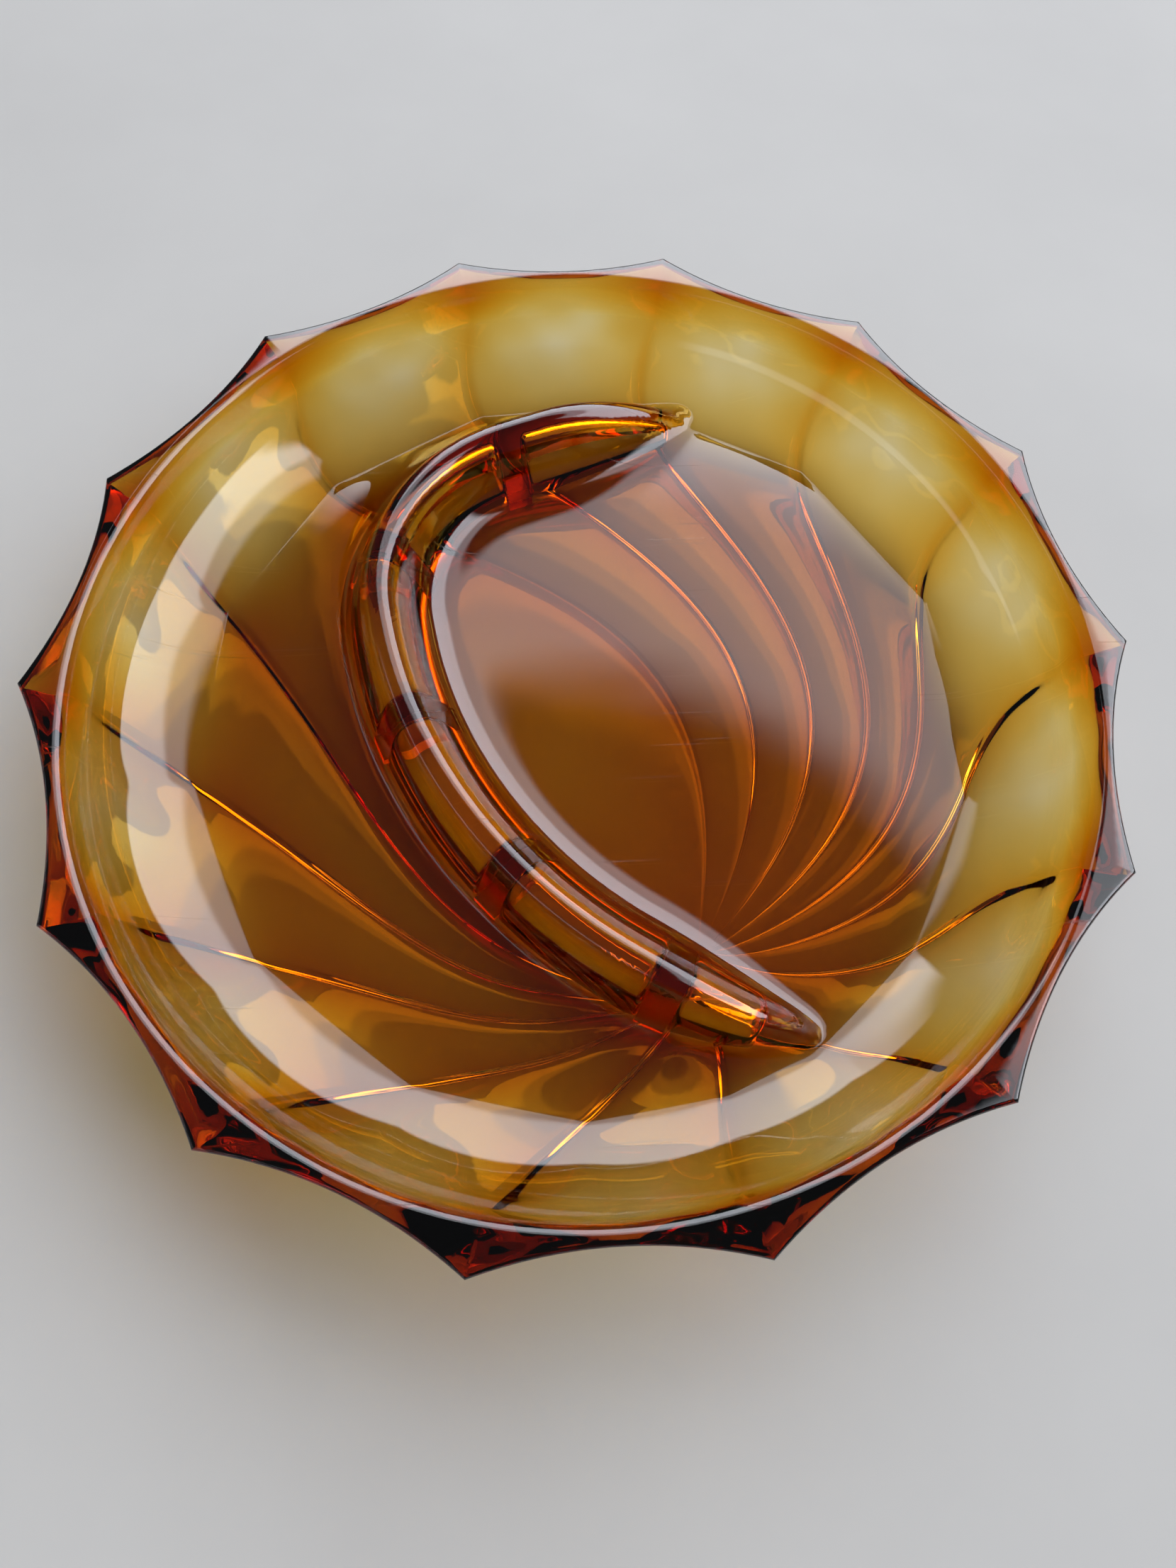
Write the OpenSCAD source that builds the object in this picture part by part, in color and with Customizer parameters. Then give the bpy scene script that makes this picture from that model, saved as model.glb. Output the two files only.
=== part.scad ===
// Divided candy dish pressed in one piece from clear amber glass.
// The origin is the centre of the dish on the surface it stands on, and +Z is up.
// One of the rim points lies on +X.

/* [Rim] */
// Radius to the points of the rim
point_r = 127; // [125:1:130]
// Radius to the hollow between two points
hollow_r = 120; // [120:0.5:121.5]
// Overall height
height = 34; // [33:0.5:36]
// Height of the upright edge of the rim
edge_h = 4; // [3:0.5:5]
// Softening of the rim's outer corners
edge_round = 1.2; // [0.8:0.1:1.2]

/* [Bowl] */
// Radius of the opening at the rim
mouth_r = 117; // [116:0.5:117]
// Rounding of the lip inside the rim
lip_round = 2.6; // [1.4:0.2:2.6]
// Height of the inside floor
floor_z = 6.5; // [6:0.25:7.5]
// Radius of the inside floor
floor_r = 98.5; // [98:0.5:99]
// Radius of the hollow curve between floor and wall
cove_r = 29.4; // [29:0.2:30]
// Slope at which that curve leaves the floor, in degrees
edge_slope = 19; // [18:0.5:20]

/* [Swirl] */
// Radius at which each swirl line leaves the rim
line_r = 121.3; // [121:0.1:122]
// X of the point under the floor where the lines meet
eye_x = 23; // [18:1:28]
// Y of the point under the floor where the lines meet
eye_y = -64.5; // [-70:0.5:-60]
// Depth of the flute between two lines
flute = 1.2; // [0.9:0.1:1.2]
// Height of the rib along each line
rib_h = 0.8; // [0.4:0.1:1]
// Rise of the underside towards the middle
dome = 0.5; // [0:0.1:0.6]

/* [Divider] */
// Height of the divider's crest
crest_z = 24.5; // [22:0.5:27]
// Half width of the divider, with the long curve into the floor
divider_w = 26; // [24:0.5:27]
// Half width of the divider at half its height
crest_w = 7.7; // [7.2:0.1:8.4]
// Length over which each end of the divider fades out
fade = 46; // [40:1:50]
// Half width of the hollows under the divider
cell_w = 6.2; // [5.4:0.1:6.4]
// Glass left over the hollows
roof = 5.5; // [5:0.25:7]
// Thickness of the webs between the hollows
web_t = 7; // [6:0.5:9]

/* [Hidden] */
$fn = 160;

amber = [0.62, 0.33, 0.06, 0.8];
point_count = 14;
pitch = 360 / point_count;

// The centre of the cove's arc, as a radius and a height.
cove_x = floor_r - cove_r * sin(edge_slope);
cove_z = floor_z + cove_r * cos(edge_slope);

// ---- Small helpers ----

function polar(r, a) = [r * cos(a), r * sin(a)];
function mix(a, b, t) = a + (b - a) * t;
function heading(v) = atan2(v[1], v[0]);
function at_height(p, z) = [p[0], p[1], z];

// One closed skin through a list of rings, each counterclockwise seen from the first ring's side.
module skin(rings) {
  n = len(rings[0]);
  rows = len(rings);
  middle = function (ring) [for (i = [0:2]) [for (p = ring) p[i]] * [for (p = ring) 1 / n]];
  points = concat([for (ring = rings) each ring], [middle(rings[0]), middle(rings[rows - 1])]);
  sides = [
    for (i = [0:rows - 2], j = [0:n - 1])
      let (a = i * n + j, b = i * n + (j + 1) % n)
        each [[a, b, b + n], [a, b + n, a + n]]
  ];
  top = [for (j = [0:n - 1]) [rows * n, (j + 1) % n, j]];
  last = (rows - 1) * n;
  bottom = [for (j = [0:n - 1]) [rows * n + 1, last + j, last + (j + 1) % n]];
  polyhedron(points, concat(top, sides, bottom));
}

// ---- Outer body: scalloped rim, fluted wall and swirled underside ----

// Columns of each panel, from one line to the next. A rib fills the first and last share of it.
rib_t = 0.06;
panel_t = [0, rib_t, 0.28, 0.5, 0.72, 1 - rib_t];

// The concave arc between two points of the rim.
chord_half = point_r * sin(pitch / 2);
chord_sag = point_r * cos(pitch / 2) - hollow_r;
scallop_r = (chord_half ^ 2 + chord_sag ^ 2) / (2 * chord_sag);
scallop_at = hollow_r + scallop_r;

// Radius of the outline at an angle from the middle of a panel.
function outline(a) = scallop_at * cos(a) - sqrt(scallop_r ^ 2 - (scallop_at * sin(a)) ^ 2);

// One ring of the rim at height z, drawn in by the given amount.
function rim_ring(z, inset) = [
  for (k = [0:point_count - 1], t = panel_t)
    let (a = (t - 0.5) * pitch)
      at_height(polar(outline(a) - inset, (k + t) * pitch), z)
];

// Lines on the near and far side of the divider bend to opposite sides on their way to the eye.
far_first = 6;
far_last = 11;
function far_side(k) = let (m = k % point_count) m >= far_first && m <= far_last;

// How a line leaves the rim and reaches the eye: two reaches as shares of its chord, and two turns
// in degrees for each millimetre of its chord.
near_swirl = [0.27, 0.69, -0.19, -0.26];
far_swirl = [0.5, 0.4, -0.03, 0.28];

eye = [eye_x, eye_y];
function swirl(k, u) =
  let (
    s = far_side(k) ? far_swirl : near_swirl,
    start = polar(line_r, k * pitch),
    chord = norm(eye - start),
    way = heading(eye - start),
    leave = start + polar(s[0] * chord, way + s[2] * chord),
    reach = eye - polar(s[1] * chord, way + s[3] * chord)
  )
    (1 - u) ^ 3 * start + 3 * u * (1 - u) ^ 2 * leave + 3 * u ^ 2 * (1 - u) * reach + u ^ 3 * eye;

// Height of a swirl line over the table, from its distance to the middle of the dish.
wall_r = cove_r + floor_z;
function line_z(r) =
  r > cove_x
    ? wall_r - sqrt(wall_r ^ 2 - (r - cove_x) ^ 2)
    : dome * (1 - (r / cove_x) ^ 2);

// A flute and two half ribs lift the underside between two lines, and fade out at the eye.
function relief(t, u) =
  (4 * flute * t * (1 - t) + rib_h * min(1, t / rib_t, (1 - t) / rib_t)) * min(1, 3 * (1 - u));

function swirl_ring(u) = [
  for (k = [0:point_count - 1], t = panel_t)
    let (
      a = swirl(k, u),
      b = swirl(k + 1, u),
      z = mix(line_z(norm(a)), line_z(norm(b)), t)
    )
      at_height(mix(a, b, t), z + relief(t, u))
];

swirl_rows = 15;
eye_stop = 0.97;
module outer_body() {
  skin(concat(
    [
      rim_ring(height, edge_round),
      rim_ring(height - edge_round * 0.3, edge_round * 0.3),
      rim_ring(height - edge_round, 0),
      rim_ring(height - edge_h, 0)
    ],
    [for (i = [0:swirl_rows]) swirl_ring(eye_stop * (i / swirl_rows) ^ 1.4)]
  ));
}

// ---- Bowl: the hollow that holds the sweets ----

// The upright face stands a little inside the mouth, and the cove runs up to it.
mouth_drop = 1;
upright_r = mouth_r - mouth_drop;

module bowl_half_section() {
  difference() {
    translate([0, floor_z])
      square([upright_r, height]);
    // The glass left in the corner, under the cove.
    difference() {
      translate([cove_x, floor_z - 1])
        square([cove_r + 1, cove_r]);
      translate([cove_x, cove_z])
        circle(cove_r);
    }
  }
  // The rounded lip.
  difference() {
    translate([floor_r, height - lip_round])
      square([upright_r + lip_round - floor_r, 2 * lip_round]);
    translate([upright_r + lip_round, height - lip_round])
      circle(lip_round);
  }
}

module bowl() {
  rotate_extrude()
    bowl_half_section();
}

// ---- Divider: a curved ridge, hollow underneath and stiffened by webs ----

// The centre line: three arcs, each tangent to the next, as radius and turn.
divider_start = [36.8, 93.2];
divider_heading = 197.6;
divider_arcs = [[4080, 0.8], [47.4, 79.2], [127, 70.4]];

function arc_length(i) = divider_arcs[i][0] * divider_arcs[i][1] * PI / 180;
function arc_end(p, h, arc, turn) =
  p + arc[0] * [sin(h + turn) - sin(h), cos(h) - cos(h + turn)];

// Place and heading on the centre line, at a distance from its start.
function on_line(s, i = 0, p = divider_start, h = divider_heading) =
  let (
    arc = divider_arcs[i],
    turn = min(s / arc[0] * 180 / PI, i == len(divider_arcs) - 1 ? 360 : arc[1]),
    end = arc_end(p, h, arc, turn)
  )
    i == len(divider_arcs) - 1 || s <= arc_length(i)
      ? [end, h + turn]
      : on_line(s - arc_length(i), i + 1, end, h + turn);

divider_l = arc_length(0) + arc_length(1) + arc_length(2);

// Share of its full section that the divider has at a distance from its start.
function swell(s) = let (t = min(1, s / fade, (divider_l - s) / fade)) t <= 0 ? 0 : sin(90 * t);

// A point beside the centre line, to its right by x.
function beside(s, x, z) =
  let (c = on_line(s)) at_height(c[0] + x * [sin(c[1]), -cos(c[1])], z);

// Height that the ridge's foot follows. It turns up a little outside the floor's edge, so that no
// facet of the ridge stands proud of that edge.
edge_clear = 4;
function foot_z(p) =
  let (r = norm([p[0], p[1]]) - edge_clear)
    r > floor_r ? cove_z - sqrt(cove_r ^ 2 - (r - cove_x) ^ 2) : floor_z;

// The divider's section as a share of its height: a rounded crest, steep flanks and long feet.
crest_power = 3.2;
function bell(x) =
  (1 - (x / divider_w) ^ 2) ^ 2 / (1 + (abs(x) / crest_w) ^ crest_power);

// The ridge's feet start just under the floor, so that they cut it at a clear angle.
foot_drop = 0.4;
base_drop = 0.9;
ridge_base = floor_z - base_drop;
ridge_rise = crest_z - floor_z + foot_drop;
ridge_half = 8;
ridge_t = [for (i = [-ridge_half:ridge_half]) sign(i) * (abs(i) / ridge_half) ^ 1.3];

// The ends are narrower than the middle.
ridge_narrowest = 0.3;
function slim(w) = mix(ridge_narrowest, 1, w);

function ridge_section(s) =
  let (
    w = swell(s),
    half = divider_w * slim(w)
  )
    concat(
      [beside(s, half, ridge_base)],
      [
        for (t = ridge_t)
          let (foot = foot_z(beside(s, -t * half, 0)) - foot_drop)
            beside(s, -t * half, foot + ridge_rise * w * bell(t * divider_w))
      ],
      [beside(s, -half, ridge_base)]
    );

ridge_steps = 44;
module ridge() {
  skin([for (i = [0:ridge_steps]) ridge_section(divider_l * i / ridge_steps)]);
}

// The hollows stand between the webs, and the two end ones taper.
web_at = [56.6, 104.4, 151.4, 197.4, 241.4];
first_cell = 9;
last_cell = 15;
cell_ends = concat(
  [[first_cell, web_at[0] - web_t / 2]],
  [for (i = [0:3]) [web_at[i] + web_t / 2, web_at[i + 1] - web_t / 2]],
  [[web_at[4] + web_t / 2, divider_l - last_cell]]
);
cell_low = -1;
cell_min_top = 1;
cell_narrowest = 0.35;
cell_t = [for (i = [0:6]) 30 * i];

// A hollow's section: a tall arch.
function cell_section(s, inset) =
  let (
    w = swell(s),
    half = cell_w * mix(cell_narrowest, 1, w) - inset,
    top = max(cell_min_top, floor_z - foot_drop + ridge_rise * w - roof - inset)
  )
    concat(
      [beside(s, half, cell_low)],
      [for (a = cell_t) beside(s, half * cos(a), top * sin(a))],
      [beside(s, -half, cell_low)]
    );

cell_soft = 1.5;
cell_step = 6;
module cell(from, to) {
  steps = max(3, round((to - from) / cell_step));
  skin(concat(
    [cell_section(from, cell_soft)],
    [for (i = [0:steps]) cell_section(mix(from + cell_soft, to - cell_soft, i / steps), 0)],
    [cell_section(to, cell_soft)]
  ));
}

// The foot under each web, which rests on the table.
pad_h = 3;
pad_half = cell_w + 1;
module pad(s) {
  c = on_line(s);
  translate(c[0])
    rotate(c[1])
      translate([-web_t / 2, -pad_half, 0])
        cube([web_t, 2 * pad_half, pad_h]);
}

// ---- The dish ----

module dish() {
  color(amber)
    difference() {
      union() {
        difference() {
          outer_body();
          bowl();
        }
        ridge();
        for (s = web_at)
          pad(s);
      }
      for (c = cell_ends)
        cell(c[0], c[1]);
    }
}

dish();
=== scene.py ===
import math

import bmesh
import bpy
import numpy as np
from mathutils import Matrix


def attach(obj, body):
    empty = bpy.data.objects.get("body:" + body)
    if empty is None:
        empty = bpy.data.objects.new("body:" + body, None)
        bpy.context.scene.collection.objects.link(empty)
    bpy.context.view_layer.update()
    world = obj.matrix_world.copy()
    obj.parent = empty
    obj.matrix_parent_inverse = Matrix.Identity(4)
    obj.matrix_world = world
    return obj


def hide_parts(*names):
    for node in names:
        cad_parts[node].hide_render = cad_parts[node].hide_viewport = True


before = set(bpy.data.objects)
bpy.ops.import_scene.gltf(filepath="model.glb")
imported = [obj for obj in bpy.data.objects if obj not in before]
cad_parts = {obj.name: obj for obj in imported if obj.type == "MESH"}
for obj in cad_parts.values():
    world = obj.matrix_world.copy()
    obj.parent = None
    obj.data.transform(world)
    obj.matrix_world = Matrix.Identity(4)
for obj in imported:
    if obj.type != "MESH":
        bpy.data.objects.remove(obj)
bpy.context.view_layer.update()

MM = 0.001
FAR = 1e9

# ---- Sizes of the dish, in millimetres and degrees ----

# The rim.
POINTS = 14
PITCH = 360 / POINTS
POINT_R = 127.0
HOLLOW_R = 120.0
HEIGHT = 34.0
EDGE_H = 4.0
EDGE_ROUND = 1.2

# The bowl. EDGE_SLOPE is how steeply the cove leaves the floor.
UPRIGHT_R = 116.0
FLOOR_Z = 6.5
FLOOR_R = 98.5
COVE_R = 29.4
EDGE_SLOPE = 19.0
EDGE_SOFT = 0.6
EDGE_CUT_MOST = 3.5
EDGE_FADE_IN = 20.0
WALL_ROUND = 4.0
LIP_ROUND = 2.6

# The underside. RIB_T is half a rib's width as a share of the way to the next line.
LINE_R = 121.3
EYE = np.array([23.0, -64.5])
EYE_LIFT = 0.2
FLUTE = 1.2
RIB_H = 0.8
RIB_T = 0.06
RIB_FADE_IN = 0.03
RELIEF_FADE_OUT = 3
DOME = 0.5

# A line is a cubic curve. Each swirl gives the first and last handle's length as a share of the
# chord, then how far each handle turns off the chord, in degrees per millimetre of chord.
NEAR_SWIRL = (0.27, 0.69, -0.19, -0.26)
FAR_SWIRL = (0.5, 0.4, -0.03, 0.28)
FAR_FIRST = 6
FAR_LAST = 11

# The ripple on the outer wall. Each wave gives its turns, its degrees per millimetre of height
# and its shift.
WAVE = 0.6
WAVE_FADE_OUT = 5
RIPPLES = ((31, 14, 0), (47, -21, 70), (19, 31, 0))

# The divider. Each arc gives its radius and how far it turns.
DIVIDER_START = (36.8, 93.2)
DIVIDER_HEADING = 197.6
DIVIDER_ARCS = ((4080.0, 0.8), (47.4, 79.2), (127.0, 70.4))
CREST_Z = 24.5
DIVIDER_W = 26.0
CREST_W = 7.7
CREST_POWER = 3.2
FADE = 46.0
DIVIDER_END_SHARE = 0.3
DIVIDER_STOP = 1.0
DIVIDER_STOP_FADE = 4.0

# The webs and hollows under the divider.
WEB_AT = (56.6, 104.4, 151.4, 197.4, 241.4)
WEB_T = 7.0
PAD_H = 3.0
PAD_SPARE = 1.0
FIRST_CELL = 9.0
LAST_CELL = 15.0
CELL_W = 6.2
CELL_END_SHARE = 0.35
CELL_LOWEST = 1.0
CELL_BELOW = 1.0
CELL_SOFT = 1.6
ROOF = 5.5

# ---- How finely each region is divided ----

TOP_COLUMNS = 440
FLOOR_FIRST_R = 1.5
FLOOR_ROWS = 84
EDGE_SOFT_STEPS = (0.25, 0.5, 0.75, 1.0)
COVE_ROWS = 32
WALL_ROUND_ROWS = 7
LIP_ROWS = 10
EDGE_SEARCH_TO = 0.6
EDGE_HALVINGS = 40

RIB_COLUMNS = 7
FLUTE_COLUMNS = 20
EDGE_ROWS = 6
SLOPE_STEPS = (0, 0.12, 0.3, 0.5, 0.7, 0.85)
LINE_ROWS = 61
LINE_LAST = 0.985
LINE_SPACING = 1.25

CELL_COLUMNS = 19
CELL_END_ROWS = 5
CELL_FEWEST_ROWS = 4
CELL_ROW_STEP = 2
SHARP_ANGLE = 38


def sin(a):
    return np.sin(np.radians(a))


def cos(a):
    return np.cos(np.radians(a))


# ---- The divider's centre line ----

def arc_pieces():
    """Each arc of the centre line as start length, centre, radius, first heading and turn."""
    pieces = []
    p = np.array(DIVIDER_START)
    h = DIVIDER_HEADING
    s = 0.0
    for radius, turn in DIVIDER_ARCS:
        centre = p + radius * np.array([-sin(h), cos(h)])
        pieces.append((s, centre, radius, h, turn))
        p = centre + radius * np.array([sin(h + turn), -cos(h + turn)])
        h += turn
        s += math.radians(turn) * radius
    return pieces, s


ARCS, DIVIDER_L = arc_pieces()


def on_line(s):
    """Point and heading on the centre line."""
    for first, centre, radius, h, turn in reversed(ARCS):
        if s >= first or first == 0.0:
            now = h + math.degrees((s - first) / radius)
            return centre + radius * np.array([sin(now), -cos(now)]), now


def to_line(x, y):
    """Length along the centre line and distance from it, for each point."""
    best = np.full(x.shape, FAR)
    along = np.zeros(x.shape)
    for first, centre, radius, h, turn in ARCS:
        dx = x - centre[0]
        dy = y - centre[1]
        now = np.degrees(np.arctan2(dx, -dy)) - h
        now = (now + 180) % 360 - 180
        near = np.clip(now, 0, turn)
        px = centre[0] + radius * sin(h + near)
        py = centre[1] - radius * cos(h + near)
        gap = np.hypot(x - px, y - py)
        closer = gap < best
        best = np.where(closer, gap, best)
        along = np.where(closer, first + np.radians(near) * radius, along)
    return along, best


def swell(s):
    """The divider's size along its length: nothing at both ends and one in between."""
    t = np.minimum(1, np.minimum(s / FADE, (DIVIDER_L - s) / FADE))
    return np.where(t <= 0, 0, sin(90 * np.clip(t, 0, 1)))


# ---- The bowl's profile: floor, cove, upright face and lip ----

COVE_X = FLOOR_R - COVE_R * sin(EDGE_SLOPE)
COVE_Z = FLOOR_Z + COVE_R * cos(EDGE_SLOPE)
ROUND_AT = UPRIGHT_R - WALL_ROUND
ROUND_DROP = math.sqrt((COVE_R - WALL_ROUND) ** 2 - (ROUND_AT - COVE_X) ** 2)
ROUND_Z = COVE_Z - ROUND_DROP
TURN_AT = math.degrees(math.atan2(ROUND_AT - COVE_X, ROUND_DROP))


def cove_height(r):
    return COVE_Z - math.sqrt(COVE_R ** 2 - (r - COVE_X) ** 2)


def bowl_profile():
    """Radius and height from the middle of the floor to the rim's flat top."""
    rows = [(r, FLOOR_Z) for r in np.linspace(FLOOR_FIRST_R, FLOOR_R - EDGE_SOFT, FLOOR_ROWS)]
    soft_rise = cove_height(FLOOR_R + EDGE_SOFT) - FLOOR_Z
    for f in EDGE_SOFT_STEPS:
        rows.append((FLOOR_R + EDGE_SOFT * (2 * f - 1), FLOOR_Z + soft_rise * f * f))
    first = math.degrees(math.asin((FLOOR_R + EDGE_SOFT - COVE_X) / COVE_R))
    for a in np.linspace(first, TURN_AT, COVE_ROWS)[1:]:
        rows.append((COVE_X + COVE_R * sin(a), COVE_Z - COVE_R * cos(a)))
    for a in np.linspace(TURN_AT, 90, WALL_ROUND_ROWS)[1:]:
        rows.append((ROUND_AT + WALL_ROUND * sin(a), ROUND_Z - WALL_ROUND * cos(a)))
    rows.append((UPRIGHT_R, HEIGHT - LIP_ROUND))
    for a in np.linspace(0, 90, LIP_ROWS)[1:]:
        rows.append((UPRIGHT_R + LIP_ROUND * (1 - cos(a)), HEIGHT - LIP_ROUND * (1 - sin(a))))
    return rows


def divider_rise(x, y):
    """Height of the divider over the bowl: a rounded crest, steep flanks and long feet."""
    s, gap = to_line(x, y)
    w = swell(s)
    gap = gap / (DIVIDER_END_SHARE + (1 - DIVIDER_END_SHARE) * w)
    foot = np.clip(1 - (gap / DIVIDER_W) ** 2, 0, 1) ** 2
    return (CREST_Z - FLOOR_Z) * w * foot / (1 + (gap / CREST_W) ** CREST_POWER)


# ---- Outer side: scalloped rim, fluted wall and swirled underside ----

CHORD_HALF = POINT_R * sin(PITCH / 2)
CHORD_SAG = POINT_R * cos(PITCH / 2) - HOLLOW_R
SCALLOP_R = (CHORD_HALF ** 2 + CHORD_SAG ** 2) / (2 * CHORD_SAG)
SCALLOP_AT = HOLLOW_R + SCALLOP_R
WALL_R = COVE_R + FLOOR_Z

RIB_STEPS = np.linspace(0, RIB_T, RIB_COLUMNS)
PANEL_T = np.concatenate([
    RIB_STEPS[:-1],
    np.linspace(RIB_T, 1 - RIB_T, FLUTE_COLUMNS)[:-1],
    (1 - RIB_STEPS)[::-1][:-1],
])


def outline(a):
    """Radius of a scallop's concave arc, at an angle from the scallop's middle."""
    return SCALLOP_AT * cos(a) - np.sqrt(SCALLOP_R ** 2 - (SCALLOP_AT * sin(a)) ** 2)


def rim_ring(z, inset):
    rows = []
    for k in range(POINTS):
        r = outline((PANEL_T - 0.5) * PITCH) - inset
        a = (k + PANEL_T) * PITCH
        rows.append(np.column_stack([r * cos(a), r * sin(a), np.full(r.shape, z)]))
    return np.vstack(rows)


def swirl(k, u):
    """Point at a share u of the way along line k, from under its rim point to the eye."""
    first, last, first_turn, last_turn = (
        FAR_SWIRL if FAR_FIRST <= k % POINTS <= FAR_LAST else NEAR_SWIRL)
    start = LINE_R * np.array([cos(k * PITCH), sin(k * PITCH)])
    chord = np.hypot(*(EYE - start))
    way = math.degrees(math.atan2(*(EYE - start)[::-1]))
    a1 = way + first_turn * chord
    a2 = way + last_turn * chord
    leave = start + first * chord * np.array([cos(a1), sin(a1)])
    reach = EYE - last * chord * np.array([cos(a2), sin(a2)])
    v = 1 - u
    return v ** 3 * start + 3 * u * v * v * leave + 3 * u * u * v * reach + u ** 3 * EYE


def line_z(p):
    """Height of a line: a slight dome under the floor, and a curve beside the cove beyond it."""
    r = np.hypot(*p)
    if r > COVE_X:
        return WALL_R - math.sqrt(WALL_R ** 2 - (r - COVE_X) ** 2)
    return DOME * (1 - (r / COVE_X) ** 2)


def relief(t, u):
    """Lift of the underside between two lines: a flute, and a rounded rib along each line."""
    side = np.clip(np.minimum(t, 1 - t) / RIB_T, 0, 1)
    rib = RIB_H * side * side * (3 - 2 * side) * min(1, u / RIB_FADE_IN)
    return (4 * FLUTE * t * (1 - t) + rib) * min(1, RELIEF_FADE_OUT * (1 - u))


def swirl_ring(u):
    rows = []
    for k in range(POINTS):
        a = swirl(k, u)
        b = swirl(k + 1, u)
        p = a + (b - a) * PANEL_T[:, None]
        z = line_z(a) + (line_z(b) - line_z(a)) * PANEL_T + relief(PANEL_T, u)
        rows.append(np.column_stack([p, z]))
    return np.vstack(rows)


def waves(ring, share):
    """The slow ripple that pressing leaves on the outer wall, always into the glass."""
    x, y, z = ring.T
    a = np.degrees(np.arctan2(y, x))
    ripple = sum(sin(a * turns + z * rise + shift) for turns, rise, shift in RIPPLES)
    inward = 1 - share * WAVE * (1 + ripple / len(RIPPLES)) / np.hypot(x, y)
    return np.column_stack([x * inward, y * inward, z])


def outer_rings():
    """Rings from the rim's flat top, down the outside and in under the floor to the eye."""
    rings = []
    for a in np.linspace(0, 90, EDGE_ROWS):
        rings.append(rim_ring(HEIGHT - EDGE_ROUND * (1 - cos(a)), EDGE_ROUND * (1 - sin(a))))
    low = rim_ring(HEIGHT - EDGE_H, 0)
    first = swirl_ring(0)
    rings.append(low * 0.5 + rings[-1] * 0.5)
    # The slope from the foot of the upright edge to where the lines start.
    for f in SLOPE_STEPS:
        rings.append(waves(low + (first - low) * f, f))
    for i in range(LINE_ROWS):
        u = LINE_LAST * (i / (LINE_ROWS - 1)) ** LINE_SPACING
        rings.append(waves(swirl_ring(u), max(0, 1 - u * WAVE_FADE_OUT)))
    return rings


# ---- Inside, from the middle of the floor to the rim ----

def edge_corners():
    """Where each swirl line passes under the edge of the floor, as angles."""
    found = []
    for k in range(POINTS):
        low, high = 0.0, EDGE_SEARCH_TO
        for _ in range(EDGE_HALVINGS):
            u = (low + high) / 2
            if np.hypot(*swirl(k, u)) > FLOOR_R:
                low = u
            else:
                high = u
        p = swirl(k, low)
        found.append(math.degrees(math.atan2(p[1], p[0])) % 360)
    return sorted(found)


def edge_cut(a):
    """How far the floor's edge cuts in between two corners, since each panel ends in a chord."""
    corners = edge_corners()
    starts = np.array([corners[-1] - 360] + corners)
    ends = np.array(corners + [corners[0] + 360])
    place = np.searchsorted(ends, a, side="right")
    half = (ends[place] - starts[place]) / 2
    off = a - (ends[place] + starts[place]) / 2
    return np.minimum(EDGE_CUT_MOST, FLOOR_R * (1 - cos(half) / cos(off)))


def top_rings():
    a = 360 * np.arange(TOP_COLUMNS) / TOP_COLUMNS
    cut = edge_cut(a)
    rings = []
    for r, z in bowl_profile():
        fade = min((r - FLOOR_R) / EDGE_FADE_IN + 1, (ROUND_AT - r) / (ROUND_AT - FLOOR_R), 1)
        at = r - cut * max(0, fade)
        x = at * cos(a)
        y = at * sin(a)
        stop = min(1, max(0, (UPRIGHT_R - DIVIDER_STOP - r) / DIVIDER_STOP_FADE))
        h = z + divider_rise(x, y) * stop
        rings.append(np.column_stack([x, y, h]))
    return rings


# ---- Meshes ----

def new_object(name, points, faces):
    mesh = bpy.data.meshes.new(name)
    mesh.from_pydata([tuple(p) for p in np.asarray(points) * MM], [], faces)
    mesh.validate()
    mesh.update()
    thing = bpy.data.objects.new(name, mesh)
    bpy.context.scene.collection.objects.link(thing)
    return thing


def join_rings(first, n, rows, faces):
    """Quads between rings of n points each, the first ring being the upper one."""
    for i in range(rows - 1):
        for j in range(n):
            a = first + i * n + j
            b = first + i * n + (j + 1) % n
            faces.append((a, a + n, b + n, b))


def zip_rings(upper, upper_a, lower, lower_a, faces):
    """Triangles between two flat rings with different counts, matched by angle."""
    i = j = 0
    n, m = len(upper), len(lower)
    while i < n or j < m:
        next_u = upper_a[(i + 1) % n] + (360 if i + 1 >= n else 0) if i < n else FAR
        next_l = lower_a[(j + 1) % m] + (360 if j + 1 >= m else 0) if j < m else FAR
        if next_u <= next_l:
            faces.append((upper[i % n], lower[j % m], upper[(i + 1) % n]))
            i += 1
        else:
            faces.append((upper[i % n], lower[j % m], lower[(j + 1) % m]))
            j += 1


def make_body():
    """One closed mesh: the middle of the floor, the inside, the rim, the outside and the eye."""
    top = top_rings()
    out = outer_rings()
    n = TOP_COLUMNS
    m = len(out[0])
    middle_z = FLOOR_Z + float(divider_rise(np.array(0.0), np.array(0.0)))
    points = [np.array([[0, 0, middle_z]])]
    points += top + out
    points.append(np.array([[EYE[0], EYE[1], EYE_LIFT + line_z(EYE)]]))
    faces = []
    for j in range(n):
        faces.append((0, 1 + j, 1 + (j + 1) % n))
    join_rings(1, n, len(top), faces)
    last_top = 1 + (len(top) - 1) * n
    base = 1 + len(top) * n
    upper_a = 360 * np.arange(n) / n
    lower_a = ((np.arange(POINTS)[:, None] + PANEL_T) * PITCH).ravel()
    zip_rings(list(range(last_top, last_top + n)), upper_a,
              list(range(base, base + m)), lower_a, faces)
    join_rings(base, m, len(out), faces)
    last = base + (len(out) - 1) * m
    for j in range(m):
        faces.append((last + j, base + len(out) * m, last + (j + 1) % m))
    return new_object("dish_glass", np.vstack(points), faces)


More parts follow.
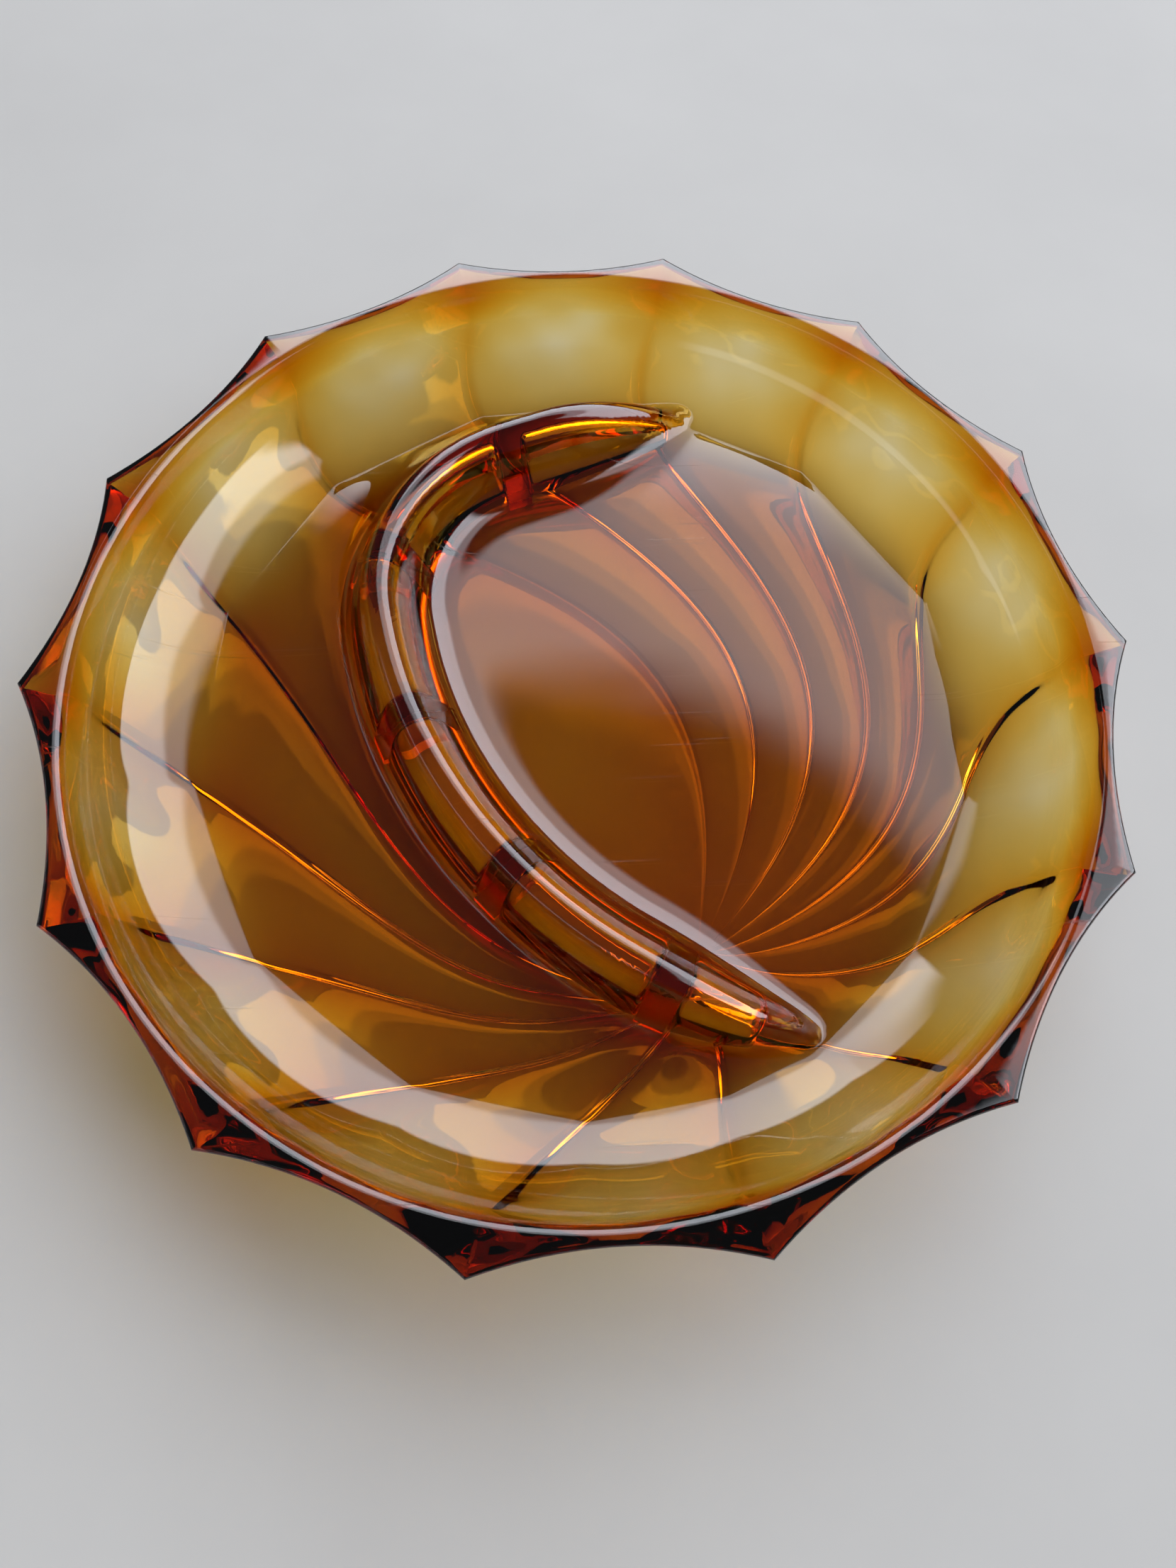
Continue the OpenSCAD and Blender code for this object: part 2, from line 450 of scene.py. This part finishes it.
def beside(s, x, z):
    """Point at height z and x to the right of the centre line."""
    p, h = on_line(s)
    return (p[0] + x * sin(h), p[1] - x * cos(h), z)


def cell_section(s, inset):
    """An arch across the divider, from below the table up to the roof of the hollow."""
    w = float(swell(np.array(s)))
    half = CELL_W * (CELL_END_SHARE + (1 - CELL_END_SHARE) * w) - inset
    top = max(CELL_LOWEST, FLOOR_Z + (CREST_Z - FLOOR_Z) * w - ROOF - inset)
    rows = [beside(s, half, -CELL_BELOW)]
    for a in np.linspace(0, 180, CELL_COLUMNS):
        rows.append(beside(s, half * cos(a), top * sin(a)))
    rows.append(beside(s, -half, -CELL_BELOW))
    return rows


def make_cell(start, end):
    """The hollow between two webs, with softened ends."""
    sections = []
    for a in np.linspace(0, 90, CELL_END_ROWS):
        sections.append((start + CELL_SOFT * (1 - cos(a)), CELL_SOFT * (1 - sin(a))))
    rows = max(CELL_FEWEST_ROWS, int((end - start) / CELL_ROW_STEP))
    middle = np.linspace(start + CELL_SOFT, end - CELL_SOFT, rows)
    sections += [(s, 0) for s in middle[1:-1]]
    for a in np.linspace(90, 0, CELL_END_ROWS):
        sections.append((end - CELL_SOFT * (1 - cos(a)), CELL_SOFT * (1 - sin(a))))
    rings = [cell_section(s, inset) for s, inset in sections]
    n = len(rings[0])
    points = np.array([p for ring in rings for p in ring])
    faces = []
    for i in range(len(rings) - 1):
        for j in range(n):
            a = i * n + j
            b = i * n + (j + 1) % n
            faces.append((a, b, b + n, a + n))
    faces.append(tuple(range(n))[::-1])
    faces.append(tuple((len(rings) - 1) * n + j for j in range(n)))
    return new_object("cell", points, faces)


def make_pad(s):
    """The flat foot of one web."""
    p, h = on_line(s)
    ahead = np.array([cos(h), sin(h)])
    right = np.array([sin(h), -cos(h)])
    corners = []
    for z in (0.0, PAD_H):
        for a, b in ((-1, -1), (1, -1), (1, 1), (-1, 1)):
            q = p + ahead * a * WEB_T / 2 + right * b * (CELL_W + PAD_SPARE)
            corners.append((q[0], q[1], z))
    faces = [(0, 1, 2, 3), (7, 6, 5, 4), (0, 4, 5, 1), (1, 5, 6, 2), (2, 6, 7, 3), (3, 7, 4, 0)]
    return new_object("pad", corners, faces)


def outward(thing):
    """Turn every face outwards."""
    b = bmesh.new()
    b.from_mesh(thing.data)
    bmesh.ops.recalc_face_normals(b, faces=b.faces)
    b.to_mesh(thing.data)
    b.free()
    return thing


def combine(body, other, operation):
    """Join the other mesh to the body or cut it out, then drop it."""
    outward(other)
    step = body.modifiers.new("cut", "BOOLEAN")
    step.operation = operation
    step.object = other
    step.solver = "MANIFOLD"
    graph = bpy.context.evaluated_depsgraph_get()
    mesh = bpy.data.meshes.new_from_object(body.evaluated_get(graph))
    body.modifiers.clear()
    old = body.data
    body.data = mesh
    bpy.data.meshes.remove(old)
    bpy.data.objects.remove(other)


dish = outward(make_body())
for at in WEB_AT:
    combine(dish, make_pad(at), "UNION")
starts = [FIRST_CELL] + [w + WEB_T / 2 for w in WEB_AT]
ends = [w - WEB_T / 2 for w in WEB_AT] + [DIVIDER_L - LAST_CELL]
for start, end in zip(starts, ends):
    combine(dish, make_cell(start, end), "DIFFERENCE")

dish.name = "dish_glass"
dish.data.name = "dish_glass"
dish.data.polygons.foreach_set("use_smooth", [True] * len(dish.data.polygons))
dish.data.set_sharp_from_angle(angle=math.radians(SHARP_ANGLE))


# ---- Materials ----

GLASS_IOR = 1.52
ABSORB = (0.94, 0.76, 0.03)
ABSORB_DENSITY = 700.0

# Each noise gives its scale, detail and roughness, and each span where its effect starts and is
# full. Heights are in metres.
CLOUD_NOISE = (55.0, 4.0, 0.6)
CLOUD_SPAN = (0.4, 0.75)
CLOUD_ROUGHNESS = 0.012
FOOT_WEAR_H = 0.00006
FOOT_ROUGHNESS = 0.42
SCRATCH_TURNS = (17.0, 64.0, -38.0)
SCRATCH_STRETCH = (14.0, 900.0, 14.0)
SCRATCH_NOISE = (1.0, 1.0, 0.5)
SCRATCH_SPAN = (0.74, 0.78)
SCRATCH_ROUGHNESS = 0.22
SURFACE_NOISE = (38.0, 1.0, 0.4)
SURFACE_STRENGTH = 0.25
SURFACE_H = 0.0006

GROUND_NOISE = (6.0, 5.0, 0.6)
GROUND_SPAN = (0.3, 0.7)
GROUND_ROUGHNESS = 0.75
GROUND_DARK = (0.33, 0.318, 0.3)
GROUND_LIGHT = (0.36, 0.348, 0.328)


def nodes_of(material):
    material.use_nodes = True
    tree = material.node_tree
    tree.nodes.clear()
    return tree


def noise(tree, where, scale, detail, roughness):
    node = tree.nodes.new("ShaderNodeTexNoise")
    node.inputs["Scale"].default_value = scale
    node.inputs["Detail"].default_value = detail
    node.inputs["Roughness"].default_value = roughness
    tree.links.new(where, node.inputs["Vector"])
    return node.outputs["Fac"]


def ramp(tree, value, low, high, out_low, out_high, kind="LINEAR"):
    node = tree.nodes.new("ShaderNodeMapRange")
    node.interpolation_type = kind
    node.inputs["From Min"].default_value = low
    node.inputs["From Max"].default_value = high
    node.inputs["To Min"].default_value = out_low
    node.inputs["To Max"].default_value = out_high
    tree.links.new(value, node.inputs["Value"])
    return node.outputs["Result"]


def math_node(tree, operation, a, b):
    node = tree.nodes.new("ShaderNodeMath")
    node.operation = operation
    for slot, value in zip(node.inputs, (a, b)):
        if isinstance(value, (int, float)):
            slot.default_value = value
        else:
            tree.links.new(value, slot)
    return node.outputs[0]


def scratches(tree, place, turn):
    """Fine hairlines in one direction, from a noise stretched a long way along it."""
    lay = tree.nodes.new("ShaderNodeMapping")
    lay.inputs["Rotation"].default_value = (0, 0, math.radians(turn))
    lay.inputs["Scale"].default_value = SCRATCH_STRETCH
    tree.links.new(place, lay.inputs["Vector"])
    streak = noise(tree, lay.outputs[0], *SCRATCH_NOISE)
    return ramp(tree, streak, *SCRATCH_SPAN, 0.0, SCRATCH_ROUGHNESS)


def amber_glass():
    material = bpy.data.materials.new("amber_glass")
    tree = nodes_of(material)
    out = tree.nodes.new("ShaderNodeOutputMaterial")
    glass = tree.nodes.new("ShaderNodeBsdfPrincipled")
    glass.inputs["Base Color"].default_value = (1, 1, 1, 1)
    glass.inputs["Transmission Weight"].default_value = 1.0
    glass.inputs["IOR"].default_value = GLASS_IOR
    place = tree.nodes.new("ShaderNodeTexCoord").outputs["Object"]
    # Handling marks: faint cloudy patches.
    cloud = noise(tree, place, *CLOUD_NOISE)
    rough = ramp(tree, cloud, *CLOUD_SPAN, 0.0, CLOUD_ROUGHNESS)
    # The feet and the lowest stretch of each line are ground dull by the table.
    height = tree.nodes.new("ShaderNodeSeparateXYZ")
    tree.links.new(place, height.inputs[0])
    worn = ramp(tree, height.outputs[2], 0.0, FOOT_WEAR_H, FOOT_ROUGHNESS, 0.0)
    rough = math_node(tree, "MAXIMUM", rough, worn)
    for turn in SCRATCH_TURNS:
        rough = math_node(tree, "MAXIMUM", rough, scratches(tree, place, turn))
    tree.links.new(rough, glass.inputs["Roughness"])
    # The pressed surface is very slightly wavy.
    wave = noise(tree, place, *SURFACE_NOISE)
    bump = tree.nodes.new("ShaderNodeBump")
    bump.inputs["Strength"].default_value = SURFACE_STRENGTH
    bump.inputs["Distance"].default_value = SURFACE_H
    tree.links.new(wave, bump.inputs["Height"])
    tree.links.new(bump.outputs["Normal"], glass.inputs["Normal"])
    tree.links.new(glass.outputs[0], out.inputs["Surface"])
    volume = tree.nodes.new("ShaderNodeVolumeAbsorption")
    volume.inputs["Color"].default_value = (*ABSORB, 1)
    volume.inputs["Density"].default_value = ABSORB_DENSITY
    tree.links.new(volume.outputs[0], out.inputs["Volume"])
    return material


def pale_floor():
    material = bpy.data.materials.new("pale_floor")
    tree = nodes_of(material)
    out = tree.nodes.new("ShaderNodeOutputMaterial")
    body = tree.nodes.new("ShaderNodeBsdfPrincipled")
    body.inputs["Roughness"].default_value = GROUND_ROUGHNESS
    place = tree.nodes.new("ShaderNodeTexCoord").outputs["Object"]
    cloud = noise(tree, place, *GROUND_NOISE)
    mix = tree.nodes.new("ShaderNodeMix")
    mix.data_type = "RGBA"
    mix.inputs["A"].default_value = (*GROUND_DARK, 1)
    mix.inputs["B"].default_value = (*GROUND_LIGHT, 1)
    tree.links.new(ramp(tree, cloud, *GROUND_SPAN, 0.0, 1.0), mix.inputs["Factor"])
    tree.links.new(mix.outputs["Result"], body.inputs["Base Color"])
    tree.links.new(body.outputs[0], out.inputs["Surface"])
    return material


dish.data.materials.clear()
dish.data.materials.append(amber_glass())
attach(dish, "root")
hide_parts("dish")

# ---- Floor, light and camera, in metres ----

GROUND_GAP = 0.0001
GROUND_HALF = 6.0
floor = new_object(
    "floor",
    np.array([(-1, -1, 0), (1, -1, 0), (1, 1, 0), (-1, 1, 0)]) * GROUND_HALF / MM,
    [(0, 1, 2, 3)],
)
floor.location.z = -GROUND_GAP
floor.data.materials.append(pale_floor())

# A room with one long, soft bank of light round the right and far sides, and a low dim one
# opposite it. Heights are sines of elevations, and widths are cosines of the angle off the
# azimuth, each given as where a soft step starts and ends.
BANK_AZIMUTH = 42.0
BANK_WIDTH = (0.32, 0.44)
BANK_LOW = 7.0
BANK_HIGH = 3.0
BANK_MIDDLE_STEP = (0.74, 0.8)
BANK_TOP_STEP = (0.87, 0.91)
FILL_AZIMUTH = 205.0
FILL_WIDTH = (0.7, 0.8)
FILL_STRENGTH = 1.5
FILL_TOP_STEP = (0.4, 0.45)
BASE_STEP = (0.29, 0.34)
ROOM_STRENGTH = 0.09
LIGHT_COLOUR = (0.93, 0.97, 1.05)
# Just over one, so that the root below never meets a negative number.
OVER_ONE = 1.0001


def facing(tree, x, y, flat, azimuth, width):
    """One for directions whose azimuth is near the one given, falling to nothing beside it."""
    east = math_node(tree, "MULTIPLY", x, float(cos(azimuth)))
    north = math_node(tree, "MULTIPLY", y, float(sin(azimuth)))
    turn = math_node(tree, "DIVIDE", math_node(tree, "ADD", east, north), flat)
    return ramp(tree, turn, *width, 0.0, 1.0, "SMOOTHSTEP")


def soft_room():
    world = bpy.data.worlds.new("soft_room")
    bpy.context.scene.world = world
    tree = nodes_of(world)
    out = tree.nodes.new("ShaderNodeOutputWorld")
    place = tree.nodes.new("ShaderNodeTexCoord").outputs["Generated"]
    split = tree.nodes.new("ShaderNodeSeparateXYZ")
    tree.links.new(place, split.inputs[0])
    x, y, z = split.outputs[0], split.outputs[1], split.outputs[2]
    squared = math_node(tree, "MULTIPLY", z, z)
    flat = math_node(tree, "POWER", math_node(tree, "SUBTRACT", OVER_ONE, squared), 0.5)
    base = ramp(tree, z, *BASE_STEP, 0.0, 1.0, "SMOOTHSTEP")
    middle = ramp(tree, z, *BANK_MIDDLE_STEP, 1.0, 0.0, "SMOOTHSTEP")
    high = ramp(tree, z, *BANK_TOP_STEP, 1.0, 0.0, "SMOOTHSTEP")
    bank = math_node(tree, "ADD", math_node(tree, "MULTIPLY", middle, BANK_LOW - BANK_HIGH),
                     math_node(tree, "MULTIPLY", high, BANK_HIGH))
    bank = math_node(tree, "MULTIPLY", bank, base)
    bank = math_node(tree, "MULTIPLY", bank, facing(tree, x, y, flat, BANK_AZIMUTH, BANK_WIDTH))
    fill_top = ramp(tree, z, *FILL_TOP_STEP, FILL_STRENGTH, 0.0, "SMOOTHSTEP")
    fill = math_node(tree, "MULTIPLY", fill_top, base)
    fill = math_node(tree, "MULTIPLY", fill, facing(tree, x, y, flat, FILL_AZIMUTH, FILL_WIDTH))
    total = math_node(tree, "ADD", math_node(tree, "ADD", bank, fill), ROOM_STRENGTH)
    light = tree.nodes.new("ShaderNodeBackground")
    light.inputs["Color"].default_value = (*LIGHT_COLOUR, 1)
    tree.links.new(total, light.inputs["Strength"])
    tree.links.new(light.outputs[0], out.inputs["Surface"])


soft_room()

CAMERA_AT = (-0.0082056, -0.0960717, 0.2163650)
CAMERA_TURN = (20.0216, -1.1773, -3.0706)
CAMERA_LENS = 20.598
CAMERA_SENSOR = 36.0
CAMERA_CLIP_START = 0.01

camera_data = bpy.data.cameras.new("camera")
camera_data.lens = CAMERA_LENS
camera_data.sensor_width = CAMERA_SENSOR
camera_data.sensor_fit = "AUTO"
camera_data.clip_start = CAMERA_CLIP_START
camera_data.dof.use_dof = False
camera = bpy.data.objects.new("camera", camera_data)
bpy.context.scene.collection.objects.link(camera)
camera.location = CAMERA_AT
camera.rotation_euler = tuple(math.radians(v) for v in CAMERA_TURN)
bpy.context.scene.camera = camera

bpy.context.scene.view_settings.view_transform = "Standard"
